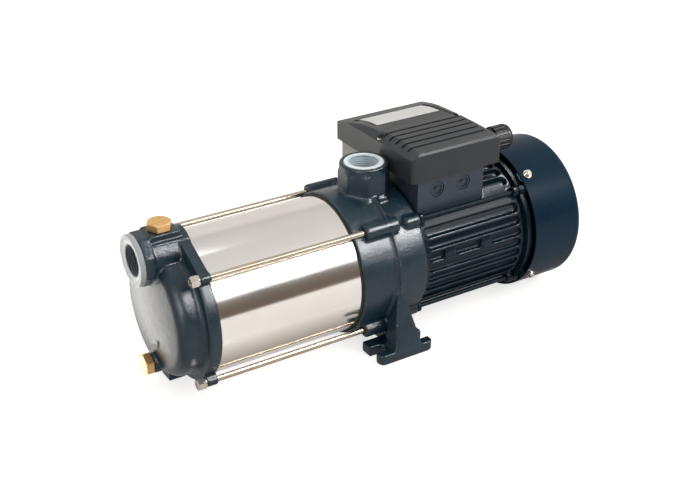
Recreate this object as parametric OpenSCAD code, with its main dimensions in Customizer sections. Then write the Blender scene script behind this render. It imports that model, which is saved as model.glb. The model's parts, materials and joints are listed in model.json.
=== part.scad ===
// Horizontal multistage surface pump with a stainless sleeve and a finned motor.
// Frame: x = 0 at the discharge port, +X along the shaft toward the fan, z = 0 under the foot.

/* [Overall] */
// Height of the shaft line over the floor
axis_h = 80; // [80:1:90]
// Visible length of the stainless sleeve
sleeve_len = 155; // [150:1:175]
// Outer radius of the stainless sleeve
sleeve_r = 71.5; // [70:0.5:72]
// Wall of the stainless sleeve
sleeve_wall = 1.5; // [1:0.1:1.8]
// Radius of the circle the tie rods stand on
tie_r = 78.6; // [78:0.1:80]
// Radius of a tie rod
rod_r = 3; // [2.5:0.1:3.2]

/* [Ports] */
// Height of the suction port over the shaft line
suction_rise = 62; // [60:0.5:64]
// Inner radius of both pipe threads
port_r = 15.15; // [14:0.05:15.5]
// Outer radius of the threaded wall in both ports
port_root_r = 16.65; // [16.3:0.05:17]
// Height of the discharge port face over the floor
discharge_top = 183.8; // [182:0.1:186]
// Radius of the filler and drain thread holes
plug_hole_r = 6.6; // [6:0.1:7]

/* [Foot] */
// Distance between the two long outer edges of the foot
foot_width = 183.2; // [180:0.1:188]
// Length of each foot along the shaft
foot_len = 64; // [60:1:66]
// Thickness of the foot
foot_t = 11; // [10:0.5:13]
// Width of the open bolt slots
slot_w = 11.5; // [10:0.1:12]

/* [Motor] */
// Radius of the motor tube under the fins
tube_r = 64; // [63:0.1:65]
// Height of a fin over the motor tube
fin_h = 5.5; // [4:0.1:6]
// Distance between two fins
fin_pitch = 12; // [11:0.1:12.5]
// Thickness of a fin
fin_t = 3; // [2.4:0.1:3.4]
// How far the fan cover stands over the fin tips
cover_over = 10.5; // [9:0.5:11.5]
// Length of the motor frame
frame_len = 127; // [127:1:132]

/* [Terminal box] */
// Height of the lid joint over the fin tips
lid_rise = 20.5; // [19.5:0.5:21.5]
// Length of the lid along the shaft
lid_len = 111; // [108:1:112]

/* [Hidden] */
$fn = 96;
x_bracket = -46;
x_cover = x_bracket - sleeve_len;
x_flange = x_cover - 12;
x_port = x_cover - 54;
x_motor = 33;
x_frame_end = x_motor + frame_len;
fin_r = tube_r + fin_h;
cover_r = fin_r + cover_over;
lid_z = axis_h + fin_r + lid_rise;
bolt_r = fin_r + 3;
gasket_t = 1;
seat_d = 6;
groove_r = sleeve_r + gasket_t;
lip_r = sleeve_r - sleeve_wall - 0.3;
barrel_r = sleeve_r + 3.5;
flange_r = sleeve_r + 2.5;
rib_r = barrel_r + 4;
collar_r = bolt_r;
room_r = min(sleeve_r, collar_r - 1) - 5.5;
chamber_r = 58;
stage_pitch = 36;
x_stage = x_bracket - 4 * stage_pitch - 3;
shaft_r = 7;
bearing_f_r = 20;
bearing_f_in = 8.5;
bearing_r_r = 17.5;
bearing_r_in = 7.5;
fan_x = x_frame_end + 24;
lid_x = 25;
seat_x = 36;
seat_z = axis_h + tube_r - 24;
plug_r = plug_hole_r - 0.05;
lip_out = 25.2;
lip_t = 5;
neck_r = 23.2;
pad_top = 25.6;
iron = [0.12, 0.19, 0.24];
iron_dark = [0.06, 0.11, 0.15];
steel = [0.78, 0.79, 0.80];
brass = [0.80, 0.60, 0.32];
plastic = [0.24, 0.25, 0.26];
rubber = [0.10, 0.10, 0.07];

// A round bar along the shaft line from x0 to x1
module bar(x0, x1, r) {
  translate([x0, 0, axis_h]) rotate([0, 90, 0]) cylinder(h = x1 - x0, r = r);
}

// A round tube along the shaft line
module tube(x0, x1, r_out, r_in) {
  difference() {
    bar(x0, x1, r_out);
    bar(x0 - 1, x1 + 1, r_in);
  }
}

// A small bar beside the shaft line, dy across and dz up from it
module side_bar(x0, x1, r, dy, dz) {
  translate([x0, dy, axis_h + dz]) rotate([0, 90, 0]) cylinder(h = x1 - x0, r = r);
}

// A cone frustum along the shaft line
module cone(x0, x1, r0, r1) {
  translate([x0, 0, axis_h]) rotate([0, 90, 0]) cylinder(h = x1 - x0, r1 = r0, r2 = r1);
}

// A profile drawn as (radius, x) and turned about the shaft line
module turned() {
  translate([0, 0, axis_h]) rotate([0, 90, 0]) rotate_extrude() children();
}

// A drawing in the YZ plane pushed along +X from x0 to x1, its origin on the shaft line
module plate(x0, x1) {
  translate([x0, 0, axis_h]) rotate([90, 0, 90]) linear_extrude(height = x1 - x0) children();
}

// The same child at the four corners of a circle of radius r
module corners(r) {
  for (i = [0 : 3]) {
    a = 45 + 90 * i;
    translate([0, r * cos(a), r * sin(a)]) children();
  }
}

// The outline of a round flange with four round lugs
module lug_outline(r_ring, r_lugs, lug) {
  circle(r = r_ring);
  for (i = [0 : 3]) {
    rotate([0, 0, 45 + 90 * i]) {
      translate([r_ring - 8, -lug + 0.08]) square([r_lugs - r_ring + 8, 2 * lug - 0.16]);
      translate([r_lugs, 0]) circle(r = lug);
    }
  }
}

// A hexagon bar along X whose flats are af apart
module hex_x(x0, x1, af, dy = 0, dz = 0) {
  translate([x0, dy, axis_h + dz]) rotate([0, 90, 0]) cylinder(h = x1 - x0, r = af / sqrt(3), $fn = 6);
}

// The bore of a pipe port with its lead-in, cut along +Z from z = 0 downward
module port_bore(depth, mouth) {
  translate([0, 0, -depth]) cylinder(h = depth + 1, r = port_r);
  translate([0, 0, port_r - mouth]) cylinder(h = mouth - port_r + 0.01, r1 = port_r, r2 = mouth);
}

module suction_cover() {
  dome_r = 227.5;
  edge_r = 13;
  x_dome = x_cover - 44 + dome_r;
  edge_c = sleeve_r - 6.5 - edge_r;
  x_edge = x_dome - sqrt(pow(dome_r - edge_r, 2) - edge_c * edge_c);
  k = dome_r / (dome_r - edge_r);
  color(iron) difference() {
    union() {
      // dome, rounded edge and barrel
      intersection() {
        bar(x_cover - 45, x_edge + 1, edge_c * k - 0.02);
        translate([x_dome, 0, axis_h]) sphere(r = dome_r, $fn = 256);
      }
      turned() translate([edge_c, x_edge]) circle(r = edge_r, $fn = 48);
      bar(x_edge, x_cover - 2, edge_c + edge_r - 0.01);
      // fillet from the barrel to the flange
      turned() difference() {
        translate([edge_c + edge_r - 1, x_flange - 6]) square([7, 7]);
        translate([edge_c + edge_r + 6, x_flange - 6]) circle(r = 6, $fn = 64);
      }
      plate(x_flange + 1, x_cover) lug_outline(flange_r, tie_r, 5);
      plate(x_flange, x_flange + 1.1) lug_outline(flange_r - 1, tie_r, 4.7);
      // shoulders from the neck to the upper lugs
      for (s = [-1, 1]) {
        plate(x_flange + 0.5, x_cover - 0.5)
          polygon([[s * 10, 58], [s * 16, 79], [s * 57, 59.6], [s * 50, 48]]);
      }
      // suction neck with its wrench flats
      side_bar(x_port + 14, x_cover, neck_r, 0, suction_rise);
      translate([x_port + lip_t, 0, axis_h + suction_rise]) rotate([0, 90, 0]) rotate([0, 0, 22.5])
        cylinder(h = 10, r = 26.6, $fn = 8);
      // filler pad on the neck
      translate([x_port + 17, -13, axis_h + suction_rise]) cube([30, 26, pad_top]);
      // lower ledge beside the pad
      translate([x_port + 18, -16.6, axis_h + suction_rise - 8]) cube([36, 33.2, 26.5]);
      // drain boss and the block below it
      side_bar(x_port + 12, x_flange, 11, 0, -53);
      side_bar(x_port + 11, x_port + 12, 10, 0, -53);
      translate([x_port + 25, -9, 5]) cube([18, 18, 16]);
      // cast arrow that shows which way the shaft turns
      plate(x_cover - 43.6, x_cover - 40) intersection() {
        difference() {
          circle(r = 29);
          circle(r = 26.8);
        }
        polygon([[0, 0], [-38.6, -46], [0, -70], [30, -52]]);
      }
      plate(x_cover - 43.6, x_cover - 40) rotate([0, 0, -129])
        polygon([[24.2, 1], [33, 1], [28.2, -7]]);
    }
    // suction chamber
    intersection() {
      bar(x_cover - 39, x_cover - 8, chamber_r);
      translate([x_dome, 0, axis_h]) sphere(r = dome_r - 6, $fn = 256);
    }
    bar(x_cover - 9, x_cover + 1, chamber_r);
    // groove that holds the sleeve and its seal ring
    tube(x_cover - seat_d - gasket_t, x_cover + 1, groove_r, lip_r);
    // suction passage
    side_bar(x_port + 20, x_cover - 6, port_r + 1, 0, suction_rise);
    translate([x_port + 28, -11, axis_h + 40]) cube([22, 22, 22]);
    side_bar(x_port - 1, x_port + 22, port_root_r, 0, suction_rise);
    // filler and drain threads
    translate([x_port + 31, 0, axis_h + suction_rise]) cylinder(h = 40, r = plug_hole_r);
    side_bar(x_port + 5, x_cover - 28, plug_hole_r, 0, -53);
    // rod holes
    corners(tie_r) bar(x_flange - 1, x_cover + 1, rod_r + 0.4);
  }
}

// The light machined lip and thread wall of the suction port
module suction_ring() {
  color([0.82, 0.84, 0.85]) difference() {
    union() {
      side_bar(x_port, x_port + lip_t, lip_out, 0, suction_rise);
      side_bar(x_port + lip_t, x_port + 22, port_root_r, 0, suction_rise);
    }
    translate([x_port, 0, axis_h + suction_rise]) rotate([0, -90, 0]) port_bore(23, 18.2);
  }
}

// The light machined lip and thread wall of the discharge port
module discharge_ring() {
  color([0.84, 0.90, 0.92]) difference() {
    union() {
      translate([0, 0, discharge_top - 22]) cylinder(h = 22, r = port_root_r);
      translate([0, 0, discharge_top - 4]) cylinder(h = 4, r = 20.5);
    }
    translate([0, 0, discharge_top]) port_bore(23, 17.6);
  }
}

module sleeve() {
  color(steel) tube(x_cover - seat_d, x_bracket + seat_d, sleeve_r, sleeve_r - sleeve_wall);
}

// A rubber ring round the sleeve end, standing a little out of its groove
module front_seal_ring() {
  color(rubber) difference() {
    bar(x_cover - seat_d - gasket_t, x_cover + 0.8, groove_r);
    bar(x_cover - seat_d, x_cover + 1, sleeve_r);
    bar(x_cover - seat_d - 2, x_cover + 1, lip_r + 0.2);
  }
}

module rear_seal_ring() {
  color(rubber) difference() {
    bar(x_bracket - 0.8, x_bracket + seat_d + gasket_t, groove_r);
    bar(x_bracket - 1, x_bracket + seat_d, sleeve_r);
    bar(x_bracket - 1, x_bracket + seat_d + 2, lip_r + 0.2);
  }
}

module tie_rods() {
  color(steel) corners(tie_r) bar(x_flange - 8.2, -20, rod_r);
}

// Hexagon nuts with a chamfer at both ends
module tie_rod_nuts() {
  color(steel) corners(tie_r) difference() {
    intersection() {
      hex_x(x_flange - 8.6, x_flange - 1, 10.6);
      union() {
        cone(x_flange - 8.6, x_flange - 5, 5.2, 8.4);
        cone(x_flange - 5, x_flange - 1, 8.4, 5.6);
      }
    }
    bar(x_flange - 9, x_flange, rod_r);
  }
}

module tie_rod_washers() {
  color(steel) corners(tie_r) tube(x_flange - 1, x_flange, 5.5, rod_r);
}

// One leg of the bracket on the viewer's side
module leg() {
  half = foot_width / 2;
  foot_x = -foot_len / 2 - 4;
  difference() {
    union() {
      // foot plate with rounded corners
      translate([foot_x + 6, -half, 0]) cube([foot_len - 12, 37, foot_t]);
      translate([foot_x, -half + 6, 0]) cube([foot_len, 31, foot_t]);
      for (x = [foot_x + 6, foot_x + foot_len - 6]) {
        translate([x, -half + 6, 0]) cylinder(h = foot_t, r = 6);
      }
      // leaning pedestal, wide at the foot and narrow at the rib
      intersection() {
        translate([-60, 0, 0]) rotate([90, 0, 90]) linear_extrude(height = 120)
          polygon([[-half, 0], [-half, foot_t + 2], [-rib_r + 1, axis_h - 12], [-rib_r + 8, axis_h],
            [-60, axis_h - 16], [-65, 44], [-71, 14], [-72, 0]]);
        translate([0, -20, 0]) rotate([90, 0, 0]) linear_extrude(height = 100)
          polygon([[-19, 0], [15, 0], [13.5, foot_t + 2], [0.5, axis_h - 15], [-1.5, axis_h],
            [-6.5, axis_h], [-8.5, axis_h - 15], [-18, foot_t + 2]]);
      }
    }
    // open bolt slots at both ends
    for (side = [0, 1]) {
      cx = side == 0 ? foot_x + 10 : foot_x + foot_len - 10;
      out = side == 0 ? foot_x - 1 : foot_x + foot_len - 10;
      translate([cx, -half + 16.5, -1]) cylinder(h = foot_t + 2, r = slot_w / 2);
      translate([out, -half + 16.5 - slot_w / 2 + 0.04, -2]) cube([11, slot_w - 0.08, foot_t + 4]);
    }
  }
}

module bracket() {
  color(iron) difference() {
    union() {
      bar(x_bracket, -5, barrel_r);
      cone(-7.5, -5.5, barrel_r, barrel_r + 1.5);
      bar(-5.5, -2.5, rib_r);
      bar(-2.6, x_motor - 0.5, collar_r);
      // bosses that take the tie rods, with tapered tails
      corners(tie_r) bar(-34, 4, 8);
      corners(tie_r) cone(-35.2, -34, 6.8, 8);
      for (i = [0 : 3]) {
        translate([0, 0, axis_h]) rotate([45 + 90 * i, 0, 0]) translate([-33.9, 64, -7.9]) cube([37.8, 14.6, 15.8]);
      }
      // lugs that take the motor bolts
      corners(bolt_r) bar(16, x_motor - 0.5, 6.5);
      corners(bolt_r) cone(12, 16, 2, 6.5);
      // discharge neck: saddle, wrench flats, collar
      translate([0, 0, axis_h + 60]) rotate([0, 0, 22.5]) cylinder(h = 12, r = 29.5, $fn = 8);
      translate([0, 0, axis_h + 66]) rotate([0, 0, 22.5])
        cylinder(h = discharge_top - 8 - axis_h - 66, r = 27, $fn = 8);
      translate([0, 0, discharge_top - 8.6]) cylinder(h = 8.6 - 0.8, r = 25);
      translate([0, 0, discharge_top - 0.8]) cylinder(h = 0.8, r1 = 25, r2 = 24.2);
      // gussets from the neck to the rib
      for (s = [-1, 1]) {
        translate([-5.5, 0, axis_h]) rotate([90, 0, 90]) linear_extrude(height = 5)
          polygon([[s * 20, 60], [s * 24, 76], [s * 52, 60], [s * 50, 55]]);
      }
      leg();
      mirror([0, 1, 0]) leg();
      // web that joins the legs
      translate([-9, -74, 0]) cube([10, 148, 36]);
    }
    // discharge chamber and the groove for the sleeve
    bar(x_bracket - 1, 8, room_r);
    tube(x_bracket - 1, x_bracket + seat_d + gasket_t, groove_r, lip_r);
    // motor side hollow, leaving the bearing hub
    tube(18, x_motor + 1, tube_r, 27);
    bar(20, x_motor + 1, bearing_f_r);
    bar(7, 21, 15);
    // discharge passage
    translate([0, 0, axis_h + 50]) cylinder(h = 50, r = port_r + 1);
    translate([0, 0, discharge_top - 22]) cylinder(h = 30, r = port_root_r);
    translate([0, 0, discharge_top - 4]) cylinder(h = 5, r = 20.5);
    // rod and bolt holes
    corners(tie_r) bar(-36, -19, rod_r);
    corners(bolt_r) bar(22, x_motor + 1, 2.5);
  }
}

// One stage of the pump: bowl, vanes and a wear ring round the impeller eye
module stage_bowl(i) {
  x0 = x_stage + 3 + i * stage_pitch;
  color([0.62, 0.63, 0.64]) difference() {
    union() {
      bar(x0, x0 + stage_pitch, 65);
      bar(x0 - 3, x0, 56);
    }
    bar(x0 + 3, x0 + 18, 61);
    bar(x0 + 21, x0 + stage_pitch + 1, 57);
    bar(x0 - 4, x0 + 4, 22);
    bar(x0 + 17, x0 + 22, 12);
    // return passages round the rim
    for (a = [0 : 45 : 315]) {
      translate([x0 + 17, 0, axis_h]) rotate([a, 0, 0]) translate([0, 48, -8]) cube([5, 8, 16]);
    }
  }
  // return vanes
  color([0.62, 0.63, 0.64]) for (a = [22.5 : 45 : 360]) {
    translate([x0 + 20.9, 0, axis_h]) rotate([a, 0, 0]) translate([0, 20, -1]) cube([10, 38, 2]);
  }
}

module diffuser_1() {
  stage_bowl(0);
}

module diffuser_2() {
  stage_bowl(1);
}

module diffuser_3() {
  stage_bowl(2);
}

module diffuser_4() {
  stage_bowl(3);
}

// One impeller: two shrouds, seven vanes, an eye and a hub on the shaft
module impeller(i) {
  x0 = x_stage + 3 + i * stage_pitch;
  color([0.70, 0.71, 0.72]) difference() {
    union() {
      bar(x0 + 6, x0 + 8, 58);
      bar(x0 + 13, x0 + 15, 58);
      bar(x0 + 1, x0 + 7, 20);
      bar(x0 + 6, x0 + 17, 11.4);
      for (a = [0 : 360 / 7 : 359]) {
        translate([x0 + 7.9, 0, axis_h]) rotate([a, 0, 0]) translate([0, 8, 0]) rotate([-28, 0, 0])
          cube([5.2, 46, 2]);
      }
    }
    difference() {
      bar(x0, x0 + 8.1, 17.5);
      bar(x0 + 6, x0 + 9, 11.4);
    }
    bar(x0, x0 + 18, shaft_r);
  }
  color([0.70, 0.71, 0.72]) for (a = [0 : 120 : 240]) {
    translate([x0 + 6, 0, axis_h]) rotate([a, 0, 0]) translate([0, 11, -1]) cube([2, 7, 2]);
  }
}

module impeller_1() {
  impeller(0);
}

module impeller_2() {
  impeller(1);
}

module impeller_3() {
  impeller(2);
}

module impeller_4() {
  impeller(3);
}

// Spacer tubes on the shaft between the impellers
module stage_spacers() {
  color(steel) for (i = [0 : 2]) {
    x0 = x_stage + 3 + i * stage_pitch;
    tube(x0 + 17, x0 + stage_pitch + 6, 9.5, shaft_r);
  }
}

module impeller_nut() {
  color(steel) difference() {
    hex_x(x_stage + 1, x_stage + 9, 20);
    bar(x_stage, x_stage + 10, 5);
  }
}

module shaft() {
  color(steel) union() {
    bar(x_stage, x_stage + 9.1, 5);
    bar(x_stage + 9, 14, shaft_r);
    bar(14, 32, bearing_f_in);
    bar(32, 158, 10);
    bar(158, 170, bearing_r_in);
    bar(170, fan_x + 22, 6);
  }
}

module seal_seat() {
  color([0.85, 0.84, 0.80]) tube(8, 14, 15, 9.5);
}

// Mechanical seal head with its spring coils
module seal_head() {
  color([0.20, 0.20, 0.21]) union() {
    tube(2, 8, 12.5, shaft_r);
    tube(-16, -12, 11.5, shaft_r);
    for (i = [0 : 4]) {
      translate([-10.4 + i * 2.6, 0, axis_h]) rotate([0, 90, 0]) rotate_extrude()
        translate([9.6, 0]) circle(r = 0.9, $fn = 24);
    }
    tube(-12.1, 2.1, 8.8, shaft_r);
  }
}

module front_bearing_outer() {
  color(steel) difference() {
    tube(20, 32, bearing_f_r, 16.8);
    turned() translate([14.25, 26]) circle(r = 3.5, $fn = 48);
  }
}

module front_bearing_inner() {
  color(steel) difference() {
    tube(20, 32, 11.7, bearing_f_in);
    turned() translate([14.25, 26]) circle(r = 3.5, $fn = 48);
  }
}

// Bearing balls in a cage ring
module front_balls() {
  color([0.86, 0.87, 0.88]) union() {
    for (a = [0 : 45 : 315]) {
      translate([26, 14.25 * cos(a), axis_h + 14.25 * sin(a)]) sphere(r = 3.3, $fn = 48);
    }
    tube(24.8, 27.2, 15.4, 13.1);
  }
}

module rear_bearing_outer() {
  color(steel) difference() {
    tube(158, 169, bearing_r_r, 14.8);
    turned() translate([12.5, 163.5]) circle(r = 3.1, $fn = 48);
  }
}

module rear_bearing_inner() {
  color(steel) difference() {
    tube(158, 169, 10.2, bearing_r_in);
    turned() translate([12.5, 163.5]) circle(r = 3.1, $fn = 48);
  }
}

module rear_balls() {
  color([0.86, 0.87, 0.88]) union() {
    for (a = [0 : 45 : 315]) {
      translate([163.5, 12.5 * cos(a), axis_h + 12.5 * sin(a)]) sphere(r = 2.9, $fn = 48);
    }
    tube(162.4, 164.6, 13.5, 11.5);
  }
}

// Channels between the fins, level on both flanks and upright below and above, with round ends
module channels() {
  x0 = x_motor + 8;
  x1 = x_frame_end - 9;
  gap = fin_pitch - fin_t;
  difference() {
    union() {
      for (i = [-3 : 3]) {
        for (turn = [0 : 3]) {
          translate([0, 0, axis_h]) rotate([90 * turn, 0, 0]) translate([0, i * fin_pitch, 0]) {
            translate([x0, -gap / 2 + 0.02, 30]) cube([x1 - x0, gap - 0.04, 50]);
            translate([x0, 0, 30]) cylinder(h = 50, r = gap / 2);
            translate([x1, 0, 30]) cylinder(h = 50, r = gap / 2);
          }
        }
      }
    }
    bar(x_motor, x_frame_end, tube_r);
  }
}

module motor_frame() {
  pad_z = axis_h + fin_pitch;
  pad_h = fin_h + 1.7;
  color(iron_dark) difference() {
    union() {
      difference() {
        bar(x_motor - 0.5, x_frame_end, fin_r);
        channels();
      }
      corners(bolt_r) bar(x_motor - 0.5, x_motor + 5, 5.8);
      corners(bolt_r) bar(x_frame_end - 8, x_frame_end, 5.8);
      for (i = [0 : 3]) {
        translate([0, 0, axis_h]) rotate([45 + 90 * i, 0, 0]) {
          translate([x_motor - 0.4, tube_r - 6, -5.7]) cube([5.3, bolt_r - tube_r + 6, 11.4]);
          translate([x_frame_end - 7.9, tube_r - 6, -5.7]) cube([7.8, bolt_r - tube_r + 6, 11.4]);
        }
      }
      // small pads left by the mould
      for (s = [-1, 1]) {
        for (x = [58.5, 105]) {
          translate([x, s * (tube_r - 2.5 + pad_h / 2) - pad_h / 2, pad_z]) rotate([-90, 0, 0]) cylinder(h = pad_h, r = 3);
          translate([x, s * (tube_r - 2.5 + pad_h / 2) - pad_h / 2 + 0.1, pad_z - 2.9]) cube([9, pad_h - 0.2, 5.8]);
          translate([x + 9, s * (tube_r - 2.5 + pad_h / 2) - pad_h / 2, pad_z]) rotate([-90, 0, 0])
            cylinder(h = pad_h, r = 3);
        }
      }
    }
    bar(x_motor - 2, x_frame_end + 1, tube_r - 4);
    // room for the terminal seat and the wire way into the motor
    difference() {
      translate([seat_x, -45, seat_z]) cube([82, 90, 60]);
      bar(x_motor, x_frame_end, tube_r - 1);
    }
    translate([seat_x + 14, 8, seat_z]) cylinder(h = 30, r = 7);
    corners(bolt_r) bar(x_motor - 2, x_frame_end + 1, 2.8);
  }
}

// Hollow cast seat that carries the terminal box on the frame
module terminal_seat() {
  color([0.27, 0.31, 0.35]) difference() {
    translate([seat_x, -45, seat_z]) cube([82, 90, lid_z - seat_z]);
    bar(x_motor, x_frame_end, tube_r - 1);
    translate([seat_x + 4, -41, axis_h + tube_r + 2]) cube([74, 82, 60]);
    translate([seat_x + 14, 8, seat_z]) cylinder(h = 40, r = 7);
    // two cable holes that the blanking plugs close
    for (x = [60, 92.6]) {
      translate([x, -46, lid_z - 14.6]) rotate([-90, 0, 0]) cylinder(h = 8, r = 7);
      translate([x, -46, lid_z - 14.6]) rotate([-90, 0, 0]) cylinder(h = 2.6, r = 8.4);
    }
  }
}

// Knock-out plugs: a rim, a sunk face, a small boss and a bar across
module blanking_plugs() {
  color([0.11, 0.16, 0.20]) for (x = [60, 92.6]) {
    translate([x, -43.4, lid_z - 14.6]) rotate([-90, 0, 0]) difference() {
      union() {
        translate([0, 0, -1]) cylinder(h = 1, r = 7.6);
        cylinder(h = 5, r = 7);
      }
      difference() {
        translate([0, 0, -2]) cylinder(h = 2.2, r = 6);
        translate([0, 0, -1]) cylinder(h = 2, r = 2.4);
        translate([-6.5, -0.7, -0.5]) cube([13, 1.4, 2]);
      }
      translate([0, 0, 3]) cylinder(h = 3, r = 5.5);
    }
  }
}

module stator_core() {
  color([0.45, 0.46, 0.47]) difference() {
    tube(60, 130, tube_r - 4, 32.3);
    for (a = [0 : 15 : 345]) {
      translate([59, 0, axis_h]) rotate([a, 0, 0]) translate([0, 36, -2]) cube([72, 10, 4]);
    }
  }
}

// Copper end turns of the stator winding
module winding_ends() {
  color([0.62, 0.36, 0.20]) turned() {
    for (x = [51, 139]) {
      intersection() {
        translate([36, x - 9]) square([17, 18]);
        translate([44.5, x]) scale(1) circle(r = 10.5, $fn = 48);
      }
    }
  }
}

module rotor_core() {
  color([0.50, 0.51, 0.52]) difference() {
    tube(60, 130, 31.9, 10);
    for (a = [0 : 20 : 340]) {
      translate([59, 0, axis_h]) rotate([a, 0, 0]) translate([0, 31.2, -0.6]) cube([72, 2, 1.2]);
    }
  }
}

module rotor_end_rings() {
  color([0.80, 0.81, 0.82]) for (x = [52, 130]) {
    tube(x, x + 8, 29, 17);
    for (a = [0 : 60 : 300]) {
      translate([x == 52 ? 46 : 138, 0, axis_h]) rotate([a, 0, 0]) translate([0, 18.5, -1.2]) cube([6, 9, 2.4]);
    }
  }
}

module end_shield() {
  color(iron_dark) difference() {
    union() {
      bar(x_frame_end, x_frame_end + 5.5, fin_r + 5);
      bar(x_frame_end - 5, x_frame_end, tube_r - 4);
      bar(x_frame_end - 6, x_frame_end + 12, 22);
      corners(bolt_r) bar(x_frame_end, x_frame_end + 6, 5.8);
      for (a = [0 : 45 : 315]) {
        translate([x_frame_end + 5.3, 0, axis_h]) rotate([a, 0, 0]) translate([0, 20, -1.5]) cube([3.6, 40, 3]);
      }
      // pads the fan cover screws go into
      for (i = [0 : 3]) {
        translate([0, 0, axis_h]) rotate([36 + 90 * i, 0, 0])
          translate([x_frame_end + 5, 56, -5]) cube([14, cover_r - 1.3 - 56, 10]);
      }
    }
    tube(x_frame_end - 7, x_frame_end - 1, tube_r - 8, 24);
    bar(x_frame_end - 2, x_frame_end + 9, bearing_r_r);
    bar(x_frame_end - 7, x_frame_end + 13, 11);
    corners(bolt_r) bar(x_frame_end - 1, x_frame_end + 7, 2.8);
    for (i = [0 : 3]) {
      translate([0, 0, axis_h]) rotate([36 + 90 * i, 0, 0]) translate([x_frame_end + 16, 60, 0])
        rotate([-90, 0, 0]) cylinder(h = 30, r = 2);
    }
  }
}

module motor_through_bolts() {
  color(iron_dark) corners(bolt_r) union() {
    bar(22, x_frame_end + 11, 2.5);
    tube(x_frame_end + 6, x_frame_end + 7, 5.4, 2.4);
    hex_x(x_frame_end + 7, x_frame_end + 11, 8);
  }
}

module fan_cover() {
  x0 = x_frame_end + 7;
  x1 = x_frame_end + 71;
  wall = 1.2;
  color(iron) difference() {
    turned() difference() {
      union() {
        translate([0, x0]) square([cover_r, x1 - x0 - 8]);
        translate([cover_r - 8, x1 - 8]) circle(r = 8, $fn = 64);
        translate([0, x1 - 8.1]) square([cover_r - 8, 8.1]);
      }
      translate([-1, x0 - 1]) square([cover_r - wall + 1, x1 - x0 - 8 + 1]);
      translate([cover_r - 8, x1 - 8]) circle(r = 8 - wall, $fn = 64);
      translate([-1, x1 - 9]) square([cover_r - 7, 9 - wall]);
    }
    // air inlet grille: rings of curved slots
    for (k = [0 : 3]) {
      difference() {
        tube(x1 - wall - 1, x1 + 1, 21 + k * 9.5, 17 + k * 9.5);
        for (a = [0 : 30 : 150]) {
          translate([x1 - wall - 2, 0, axis_h]) rotate([a, 0, 0]) translate([0, -90, -2]) cube([4, 180, 4]);
        }
      }
    }
    for (i = [0 : 3]) {
      translate([0, 0, axis_h]) rotate([36 + 90 * i, 0, 0]) translate([x_frame_end + 16, 70, 0])
        rotate([-90, 0, 0]) cylinder(h = 30, r = 2.2);
    }
  }
}

module fan_cover_screws() {
  color(steel) for (i = [0 : 3]) {
    translate([0, 0, axis_h]) rotate([36 + 90 * i, 0, 0]) translate([x_frame_end + 16, 66, 0])
      rotate([-90, 0, 0]) {
        cylinder(h = cover_r - 65, r = 2);
        translate([0, 0, cover_r - 66]) cylinder(h = 0.8, r = 5);
        translate([0, 0, cover_r - 65.2]) difference() {
          cylinder(h = 3, r = 3.6);
          translate([0, 0, 1.8]) cube([8, 1, 3], center = true);
        }
      }
  }
}

// Radial fan with straight blades on a hub
module fan() {
  color([0.16, 0.17, 0.18]) difference() {
    union() {
      bar(fan_x, fan_x + 20, 14);
      bar(fan_x + 2, fan_x + 4, 61);
      cone(fan_x + 5, fan_x + 14, 26, 14);
      for (a = [0 : 360 / 7 : 359]) {
        translate([fan_x + 2, 0, axis_h]) rotate([a, 0, 0]) translate([0, 12, -1.2]) cube([24, 52, 2.4]);
      }
    }
    bar(fan_x - 1, fan_x + 21, 6);
  }
}

module fan_circlip() {
  color(steel) difference() {
    tube(fan_x + 20, fan_x + 21.2, 9, 6);
    translate([fan_x + 19, -1.5, axis_h - 10]) cube([3, 3, 10]);
  }
}

// Rubber water thrower on the shaft in front of the bearing
module slinger() {
  color(rubber) tube(15.5, 18.5, 13, bearing_f_in);
}

// Side outline of the lid, drawn as (y, z)
module lid_profile(inset, side) {
  polygon([[-50 + side, lid_z - 1], [95 - side, lid_z - 1], [95 - side, lid_z + 18.5 - inset],
    [93 - side, lid_z + 20 - inset], [57, lid_z + 28 - inset], [16, lid_z + 31.5 - inset],
    [-12, lid_z + 32 - inset], [-48 + side, lid_z + 30.5 - inset], [-50 + side, lid_z + 28.5 - inset]]);
}

// Flat box with rounded upright edges
module round_box(x0, y0, z0, lx, ly, h, r) {
  translate([x0 + r, y0, z0]) cube([lx - 2 * r, ly, h]);
  translate([x0, y0 + r, z0]) cube([lx, ly - 2 * r, h]);
  for (x = [x0 + r, x0 + lx - r]) {
    for (y = [y0 + r, y0 + ly - r]) {
      translate([x, y, z0]) cylinder(h = h, r = r);
    }
  }
}

// Tray inside the foot of the lid, with the capacitor's housing hanging behind the seat
module terminal_base() {
  x1 = lid_x + lid_len;
  color([0.62, 0.62, 0.60]) difference() {
    union() {
      round_box(lid_x + 2.8, -47.2, lid_z, lid_len - 5.6, 139.4, 3, 2.2);
      round_box(lid_x + 4, -46, lid_z + 2.9, lid_len - 8, 137, 5, 3);
      round_box(lid_x + 4, 46, lid_z - 31, lid_len - 8, 46, 31.1, 5);
    }
    round_box(lid_x + 6.5, -43.5, lid_z + 3, lid_len - 13, 132, 10, 2);
    round_box(lid_x + 6.6, 48.5, lid_z - 28.5, lid_len - 13.2, 39.9, 45, 3);
    translate([44, -30, lid_z - 5]) cube([60, 60, 10]);
    translate([x1 - 12, -20, lid_z + 12]) rotate([0, 90, 0]) cylinder(h = 20, r = 9);
  }
}

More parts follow.
